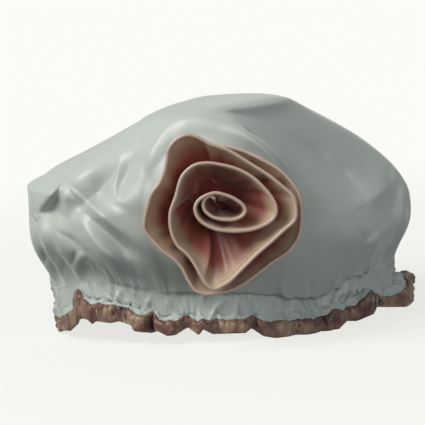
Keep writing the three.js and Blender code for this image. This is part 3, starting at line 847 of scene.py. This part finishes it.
def ruffle_frame(angle, along):
    """Point of the ruffle with its outward normal and its downward direction."""
    step = 0.01
    point = ruffle(angle, along)
    down = unit(ruffle(angle, along + step) - ruffle(angle, along - step))
    round_cap = ruffle(angle + step / 4, along) - ruffle(angle - step / 4, along)
    return point, unit(np.cross(down, round_cap)), down


def tape_top(angle):
    """Where the tape's upper edge runs along the ruffle, as sewn by hand."""
    middle, half_width, wider = TAPE_WIDER
    higher = wider * swell(angle, middle, half_width)
    return TAPE_TOP - higher + TAPE_UNEVEN * wander(angle, 47, [7, 12, 19])


def tape_crease(angle, share):
    """Sharp uneven creases of the tape, from its top edge at 0 to the hem at 1."""
    lean = 0.03 * wander(angle, 19, [9, 14, 21]) * share
    ridges = 1 - np.abs(wander(angle + lean, 17, [61, 83, 109]))
    return TAPE_CREASE * ridges**3 * math.sin(math.pi * (0.15 + 0.75 * share))


def make_binding(material):
    """Tape folded over the hem, puckered where it is drawn round the lobes."""
    angle = column_angles()
    top = tape_top(angle)
    shares = np.linspace(0, 1, TAPE_ROWS)

    def layer(off, further):
        rings = []
        for side in (1, -1):
            for share in shares if side > 0 else shares[::-1]:
                point, normal, _ = ruffle_frame(angle, top + (1 - top) * share)
                thick = off + tape_crease(angle, share)
                rings.append(point + (side * thick)[:, None] * normal)
            if side > 0:
                point, normal, down = ruffle_frame(angle, np.ones(COLUMNS))
                rings += [point + turn * off * normal + further * down for turn in (0.6, 0.0, -0.6)]
        return rings

    outline = layer(TAPE_OFF + TAPE_THICKNESS, TAPE_FOLD) + layer(TAPE_OFF, TAPE_FOLD - TAPE_THICKNESS)[::-1]
    sections = np.stack(outline, axis=1)
    length = angle * (MOUTH[0] + MOUTH[1]) / 2
    across = np.linspace(0, 2 * TAPE_WIDTH, sections.shape[1])
    return make_sweep("hem_binding_tape", sections, material, True, strip_uvs(length, across))


def make_elastic(material):
    """Knitted elastic strip, ribbed along its length, whose two ends lap at the back."""
    half_lap = ELASTIC_LAP / 2 / MOUTH[0]
    angle = np.linspace(math.pi / 2 - half_lap, 2.5 * math.pi + half_lap, ELASTIC_STEPS)
    shift = np.linspace(ELASTIC_SHIFT, -ELASTIC_SHIFT, ELASTIC_STEPS)
    height = np.linspace(-ELASTIC_WIDTH / 2, ELASTIC_WIDTH / 2, 3 * ELASTIC_RIBS + 1)
    rib = ELASTIC_HALF + RIB_DEPTH * np.cos(np.linspace(0, ELASTIC_RIBS, len(height)) * 2 * math.pi)
    rib[[0, -1]] = ELASTIC_EDGE_HALF
    outward = raised(outward_at(angle), 0.0)
    middle = raised(oval(angle, MOUTH), ELASTIC_HEIGHT + drawn_up(angle)) + shift[:, None] * outward
    level = middle[:, None] + height[:, None] * Z_AXIS
    side = rib[:, None] * outward[:, None]
    sections = np.concatenate([level + side, (level - side)[:, ::-1]], axis=1)
    return make_sweep("elastic_strip", sections, material, False)


# Rose: rim of its strip from the heart outward, in pixels
RIM = [
    (215, 199), (210, 196), (205, 199), (203, 205), (206, 212), (215, 218), (228, 220), (239, 218),
    (245, 212), (243, 205), (233, 198), (222, 194), (214, 193), (205, 196), (198, 201), (195, 208),
    (197, 216), (203, 223), (215, 229), (228, 231), (240, 231), (254, 229), (268, 223), (275, 216),
    (276, 207), (272, 198), (264, 188), (252, 177), (237, 169), (222, 165), (209, 163), (198, 164),
    (190, 168), (183, 175), (179, 184), (176, 196), (171, 210), (170, 220), (171, 230), (174, 239),
    (179, 247), (187, 254), (194, 263), (201, 276), (207, 285), (214, 289), (222, 286), (231, 280),
    (242, 269), (256, 255), (271, 242), (284, 230), (294, 221), (296, 212), (295, 203), (292, 195),
    (283, 187), (268, 175), (252, 165), (233, 153), (222, 148), (210, 144), (205, 141), (197, 137),
    (188, 135), (179, 138), (172, 144), (168, 151), (167, 159), (164, 173), (159, 184), (151, 195),
    (146, 212), (144, 226), (147, 234), (154, 242), (164, 252), (174, 259), (182, 268), (187, 278),
    (194, 289), (201, 293), (210, 294), (228, 291), (242, 285), (256, 275), (273, 262), (288, 252),
    (298, 238), (301, 223), (301, 206), (299, 195), (291, 182), (279, 170), (262, 160), (245, 152),
    (228, 147), (214, 146), (202, 145),
]

# Rise of the rim over its foot: share along the strip, height
RIM_RISE = [(0, 24), (0.2, 26), (0.45, 26), (0.62, 24), (0.8, 20), (0.96, 17), (1, 9)]


def rose_ring(turn):
    """Directions away from the rose's axis, all round it."""
    return np.cos(turn)[:, None] * ROSE_RIGHT + np.sin(turn)[:, None] * ROSE_UP


def rim_line():
    """Rim of the strip in the rose's own frame, at even steps from the heart to the outer end."""
    places = np.linspace(0, len(RIM) - 1, 12 * len(RIM))
    pixels = spline(RIM, places)
    rise = np.interp(places / places[-1], *np.array(RIM_RISE).T)
    origins = ROSE_SEAT + (STRIP_FOOT + rise)[:, None] * ROSE_AXIS
    points = onto_planes(pixels, origins, ROSE_AXIS) - ROSE_SEAT
    local = np.stack([points @ ROSE_RIGHT, points @ ROSE_UP, rise], axis=-1)
    length = running_length(local[:, :2])
    even = np.linspace(0, length[-1], STRIP_STEPS)
    return at_lengths(local, length, even), even


def rose_walls():
    """Middle of the folded strip: rows from foot to rim at each step along it, in the rose's own frame."""
    rim, length = rim_line()
    height = np.linspace(0, 1, WALL_ROWS)
    opening = 1 - (1 - height) ** PETAL_OPENING
    shifted = np.interp(length / length[-1], *np.array(SHIFT_ALONG).T)[:, None] * np.array(FOOT_SHIFT)
    foot = (rim[:, :2] * FOOT_SPREAD + shifted)[:, None]
    flat = foot + (rim[:, None, :2] - foot) * opening[:, None]
    upright = STRIP_FOOT + rim[:, 2:] * height
    walls = np.concatenate([flat, upright[..., None]], axis=-1)
    pleats = wander(length / 10, 23, [3, 4.3, 5.7])
    billow = wander(length / 10, 31, [1.1, 1.7, 2.3]) + 0.5 * wander(length / 10, 53, [3.9, 5.3])
    half_way_up = np.sin(math.pi * height)
    push = FOOT_PLEATS * pleats[:, None] * (1 - height) ** 1.5
    push += (BILLOWS * billow - tucked(length))[:, None] * half_way_up
    return walls + push[..., None] * wall_normals(walls), length, height


def tucked(length):
    """Inward swell of the strip up to the pleat where it tucks back behind itself."""
    before = length - PLEAT_ALONG * length[-1]
    swelling = smoothstep(-PLEAT_SWELL, -PLEAT_HALF, before)
    return PLEAT_DEPTH * swelling * (1 - smoothstep(-PLEAT_HALF, PLEAT_HALF, before))


def wall_normals(walls):
    along = np.gradient(walls, axis=0)
    up = np.gradient(walls, axis=1)
    return unit(np.cross(along, up))


def make_rose(material):
    walls, length, height = rose_walls()
    normals = wall_normals(walls)
    foot, gain, bead = STRIP_HALF
    half = foot + gain * height**2 + bead * height**8
    outer = walls + half[:, None] * normals
    inner = walls - half[:, None] * normals
    tip = unit(walls[:, -1] - walls[:, -2])
    turns = np.linspace(0, math.pi, 8)[1:-1]
    fold = [walls[:, -1] + half[-1] * (math.cos(t) * normals[:, -1] + math.sin(t) * tip) for t in turns]
    local = np.concatenate([outer, np.stack(fold, axis=1), inner[:, ::-1]], axis=1)
    sections = ROSE_SEAT + local[..., :1] * ROSE_RIGHT + local[..., 1:2] * ROSE_UP
    sections += local[..., 2:] * ROSE_AXIS
    over_fold = STRIP_WIDTH / 2 + np.linspace(-1, 1, len(turns) + 2)[1:-1]
    rising = height * (STRIP_WIDTH / 2 - 1)
    across = np.concatenate([rising, over_fold, STRIP_WIDTH - rising[::-1]])
    return make_sweep("rose_strip_satin", sections, material, False, strip_uvs(length, across))


def make_felt(material):
    """Felt disc behind the rose, a little uneven at its cut edge."""
    turn = np.arange(FELT_STEPS) / FELT_STEPS * 2 * math.pi
    ragged = 1 + FELT_RAGGED * wander(turn, 37, [17, 29, 41])[:, None]
    low = CLEARANCE
    high = CLEARANCE + FELT_THICKNESS
    profile = [(0.02, high), (0.5, high + 0.05), (0.97, high), (1.0, high - 0.4),
               (1.0, low + 0.3), (0.98, low), (0.02, low)]
    rings = []
    for share, level in profile:
        radius = (FELT_RADIUS - CLEARANCE) * share * (ragged if share > 0.9 else 1.0)
        rings.append(ROSE_SEAT + radius * rose_ring(turn) + level * ROSE_AXIS)
    return make_sweep("rose_felt_backing", np.stack(rings, axis=1), material, True)


# Stitches
def stitch_tree(material):
    """Geometry Nodes group that lays one short length of thread on each point, along its run."""
    tree = bpy.data.node_groups.new("stitches", "GeometryNodeTree")
    for name, kind in (("Path", "NodeSocketGeometry"), ("Stitch length", "NodeSocketFloat"),
                       ("Thread radius", "NodeSocketFloat")):
        tree.interface.new_socket(name, in_out="INPUT", socket_type=kind)
    tree.interface.new_socket("Stitches", in_out="OUTPUT", socket_type="NodeSocketGeometry")
    given = add_node(tree, "NodeGroupInput")
    half = add_node(tree, "ShaderNodeMath", {
        0: given.outputs["Stitch length"], 1: 0.5}, operation="MULTIPLY")
    size = add_node(tree, "ShaderNodeCombineXYZ", {
        "X": half.outputs[0], "Y": given.outputs["Thread radius"], "Z": given.outputs["Thread radius"]})
    bead = add_node(tree, "GeometryNodeMeshUVSphere", {"Segments": 8, "Rings": 6, "Radius": 1.0})
    thread = add_node(tree, "GeometryNodeTransform", {
        "Geometry": bead.outputs["Mesh"], "Scale": size.outputs["Vector"]})
    run = add_node(tree, "GeometryNodeInputNamedAttribute", {"Name": "run"}, data_type="FLOAT_VECTOR")
    turned = add_node(tree, "FunctionNodeAlignRotationToVector", {
        "Vector": run.outputs["Attribute"]}, axis="X")
    uneven = add_node(tree, "FunctionNodeRandomValue", {2: 0.88, 3: 1.08, "Seed": 7}, data_type="FLOAT")
    laid = add_node(tree, "GeometryNodeInstanceOnPoints", {
        "Points": given.outputs["Path"], "Instance": thread.outputs["Geometry"],
        "Rotation": turned.outputs["Rotation"], "Scale": uneven.outputs[1]})
    real = add_node(tree, "GeometryNodeRealizeInstances", {"Geometry": laid.outputs["Instances"]})
    smooth = add_node(tree, "GeometryNodeSetShadeSmooth", {"Geometry": real.outputs["Geometry"]})
    dressed = add_node(tree, "GeometryNodeSetMaterial", {
        "Geometry": smooth.outputs["Geometry"], "Material": material})
    add_node(tree, "NodeGroupOutput", {"Stitches": dressed.outputs["Geometry"]})
    return tree


def make_stitches(name, points, runs, length, radius, material):
    """Row of stitches, one at each point, as a plain mesh."""
    mesh = bpy.data.meshes.new(name + "_path")
    mesh.from_pydata((points / 1000.0).tolist(), [], [])
    attribute = mesh.attributes.new("run", "FLOAT_VECTOR", "POINT")
    attribute.data.foreach_set("vector", np.asarray(runs, np.float32).ravel())
    path = new_object(name + "_path", mesh)
    modifier = path.modifiers.new("stitches", "NODES")
    tree = stitch_tree(material)
    modifier.node_group = tree
    sizes = {"Stitch length": length / 1000.0, "Thread radius": radius / 1000.0}
    for socket in tree.interface.items_tree:
        if socket.name in sizes:
            modifier[socket.identifier] = sizes[socket.name]
    graph = bpy.context.evaluated_depsgraph_get()
    result = bpy.data.meshes.new_from_object(path.evaluated_get(graph))
    bpy.data.objects.remove(path)
    bpy.data.node_groups.remove(tree)
    result.name = name
    return new_object(name, result)


def spaced(line, spacing):
    """Points a spacing apart on a closed line, with the direction of the line at each."""
    closed = np.concatenate([line, line[:1]])
    length = running_length(closed)
    points = at_lengths(closed, length, np.arange(0, length[-1] - spacing / 2, spacing))
    return points, unit(np.roll(points, -1, axis=0) - np.roll(points, 1, axis=0))


def make_channel_stitches(name, grid, row, material):
    line = grid[row] + (CLOTH_OFF + THREAD_OFF) * grid_normals(grid)[row]
    return make_stitches(name, *spaced(line, CHANNEL_SPACING), *CHANNEL_STITCH, material)


def make_binding_stitches(material):
    below, off = TAPE_SEAM
    angle = column_angles()
    point, normal, _ = ruffle_frame(angle, tape_top(angle) + below)
    line = point + (TAPE_OFF + TAPE_THICKNESS + off) * normal
    return make_stitches("binding_stitches", *spaced(line, TAPE_SPACING), *TAPE_STITCH, material)


def make_whip_stitches(material):
    """Hand stitches that cross the edge of the felt."""
    turn = np.arange(WHIP_COUNT) / WHIP_COUNT * 2 * math.pi
    outward = rose_ring(turn)
    sideways, inward = WHIP_SLANT
    off = FELT_THICKNESS + CLEARANCE + THREAD_OFF
    points = ROSE_SEAT + (FELT_RADIUS - WHIP_INSET) * outward + off * ROSE_AXIS
    runs = unit(outward + sideways * rose_ring(turn + math.pi / 2) - inward * ROSE_AXIS)
    return make_stitches("rose_whip_stitches", points, runs, *WHIP_STITCH, material)


def make_zigzag(material):
    """Zigzag that joins the lapped ends of the elastic, on the side of the lining."""
    half_length, half_width = ZIGZAG_REACH
    angle = math.pi / 2 + half_length / MOUTH[0] * np.linspace(-1, 1, ZIGZAG_COUNT + 1)
    inside = (MOUTH[0] - ZIGZAG_INSIDE, MOUTH[1] - ZIGZAG_INSIDE)
    corners = raised(oval(angle, inside), ELASTIC_HEIGHT + drawn_up(angle))
    corners[1::2, 2] += half_width
    corners[::2, 2] -= half_width
    points = (corners[1:] + corners[:-1]) / 2
    return make_stitches("elastic_zigzag", points, unit(np.diff(corners, axis=0)), *ZIGZAG_STITCH, material)


# Studio
def split_rays(tree, background, elsewhere, output):
    """Plain background where a ray sees it straight, mirrored or through something clear.

    Rays of any other kind, which light the cap, meet the other shader.
    """
    path = add_node(tree, "ShaderNodeLightPath")
    shown = add_node(tree, "ShaderNodeMath", {
        0: path.outputs["Is Camera Ray"], 1: path.outputs["Is Glossy Ray"]}, operation="MAXIMUM")
    seen = add_node(tree, "ShaderNodeMath", {
        0: shown.outputs[0], 1: path.outputs["Is Transmission Ray"]}, operation="MAXIMUM")
    mixed = add_node(tree, "ShaderNodeMixShader", {
        0: seen.outputs[0], 1: elsewhere.outputs[0], 2: background.outputs[0]})
    add_node(tree, output, {"Surface": mixed.outputs[0]})


def make_stage():
    """White paper that shows the cap's shadow, fades to white further off and sends up little light."""
    bpy.ops.mesh.primitive_plane_add(size=40, location=(0, 0, 0))
    floor = bpy.context.object
    floor.name = "floor"
    material, tree, place = new_material("white paper")
    away = add_node(tree, "ShaderNodeVectorMath", {0: place.outputs["Object"]}, operation="LENGTH")
    bright = add_node(tree, "ShaderNodeMapRange", {
        "Value": away.outputs["Value"], 1: 0.15, 2: 0.8, 3: 0.8, 4: 1.0})
    paper = add_node(tree, "ShaderNodeBsdfDiffuse", {"Color": linear("#eeefec")})
    glow = add_node(tree, "ShaderNodeEmission", {"Color": linear("#fafbf6"), "Strength": 1.0})
    seen = add_node(tree, "ShaderNodeMixShader", {
        0: bright.outputs[0], 1: paper.outputs[0], 2: glow.outputs[0]})
    table = add_node(tree, "ShaderNodeBsdfDiffuse", {"Color": linear("#4a4a4a")})
    split_rays(tree, seen, table, "ShaderNodeOutputMaterial")
    floor.data.materials.append(material)


def add_area_light(name, place, size, power, colour):
    light = bpy.data.lights.new(name, "AREA")
    light.shape = "DISK"
    light.size = size
    light.energy = power
    light.color = linear(colour)[:3]
    lamp = new_object(name, light)
    lamp.location = place
    lamp.rotation_euler = (Vector(AIM / 1000.0) - lamp.location).to_track_quat("-Z", "Y").to_euler()


def add_world():
    world = bpy.data.worlds.new("studio")
    world.use_nodes = True
    tree = world.node_tree
    tree.nodes.clear()
    room = add_node(tree, "ShaderNodeBackground", {"Color": linear("#e2e4e4"), "Strength": 0.16})
    white = add_node(tree, "ShaderNodeBackground", {"Color": linear("#f9faf5"), "Strength": 1.0})
    split_rays(tree, white, room, "ShaderNodeOutputWorld")
    bpy.context.scene.world = world


def add_camera():
    camera = new_object("camera", bpy.data.cameras.new("camera"))
    camera.data.lens = FOCAL * camera.data.sensor_width / PHOTO_SIZE
    camera.data.clip_end = 20.0
    camera.location = EYE / 1000.0
    camera.rotation_euler = Matrix([RIGHTWARD, UPWARD, -FORWARD]).transposed().to_euler()
    bpy.context.scene.camera = camera
    bpy.context.scene.view_settings.view_transform = "Standard"


def attach(piece, node):
    """Puts a piece on the one body, in the place of its solid."""
    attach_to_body(piece, "root")
    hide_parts(node)
    return piece


def dress_cap():
    white_tones = [(0, "#afb8b3"), (1, "#bac3be")]
    tape_shade_and_highlight_tones = [(0.36, "#3c1f1b"), (0.46, "#64403a"), (0.54, "#7d6154"), (0.64, "#9c836d")]
    # Satin gives a pearly gloss along the folds, and creased tape a duller one
    # The tape's darkest and palest patches, set at random, are painted shade and painted highlights of its
    # creases
    white_satin = satin("white polyester satin", white_tones, "#ffffff",
                        bloom=0.3, roughness=0.58, gloss=0.36, crease=14.0)
    tape_satin = satin("dusty pink satin tape", tape_shade_and_highlight_tones, "#f0e6d0",
                       bloom=0.8, roughness=0.6, gloss=0.3, crease=5.0)
    # Coated lining gives a faint even shine, elastic a chalky ribbed white, and thread matt flecks
    lining_cloth = woven("dusty pink coated lining", "#b08a7c", "#a07a6c",
                         spacing=0.7, depth=0.05, roughness=0.5, sheen=0.1)
    knitted = woven("white knitted elastic", "#e8e6e0", "#d8d6d0",
                    spacing=0.9, depth=0.2, roughness=0.8, sheen=0.2)
    white_thread = woven("white sewing thread", "#b6bfba", "#a9b2ad")
    pink_thread = woven("dusty pink sewing thread", "#9d7263", "#85604f")
    grid = cap_grid()
    crown = attach(make_crown(grid, white_satin), "outer_crown")
    lining = attach(make_lining(grid, lining_cloth), "lining")
    tape = attach(make_binding(tape_satin), "edge_binding")
    attach(make_elastic(knitted), "elastic_band")
    attach(make_zigzag(white_thread), "elastic_join_thread")
    for name, node, row in (("channel_stitches_upper", "channel_thread_upper", CROWN_ROWS),
                            ("channel_stitches_lower", "channel_thread_lower", CROWN_ROWS + CHANNEL_ROWS)):
        attach(make_channel_stitches(name, grid, row, white_thread), node)
    attach(make_binding_stitches(pink_thread), "binding_thread")


def dress_rose():
    rose_shade_and_sheen_tones = [(0, "#75302a"), (0.5, "#8a4338"), (0.8, "#b09780"), (0.94, "#bfa790"), (1, "#b3978a")]
    # Folded satin gets painted shade, deep red down in its hollows, and painted cream sheen up toward its
    # pale rims
    # Felt gives a dull fuzzy dark
    rose_satin = satin("dusty pink polyester satin", rose_shade_and_sheen_tones, "#f6f0d8",
                       bloom=0.4, roughness=0.75, gloss=1.0, crease=14.0, painted_shade_and_sheen=True)
    felt = woven("dusty pink wool felt", "#7a342b", "#682a22",
                 spacing=0.6, depth=0.3, roughness=0.95, sheen=0.2)
    pink_thread = woven("dusty pink hand thread", "#9d7263", "#85604f")
    rose = attach(make_rose(rose_satin), "rose_strip")
    backing = attach(make_felt(felt), "rose_backing")
    attach(make_whip_stitches(pink_thread), "rose_whip_thread")


make_stage()
add_world()
add_camera()
for lamp in LAMPS:
    add_area_light(*lamp)
dress_cap()
dress_rose()
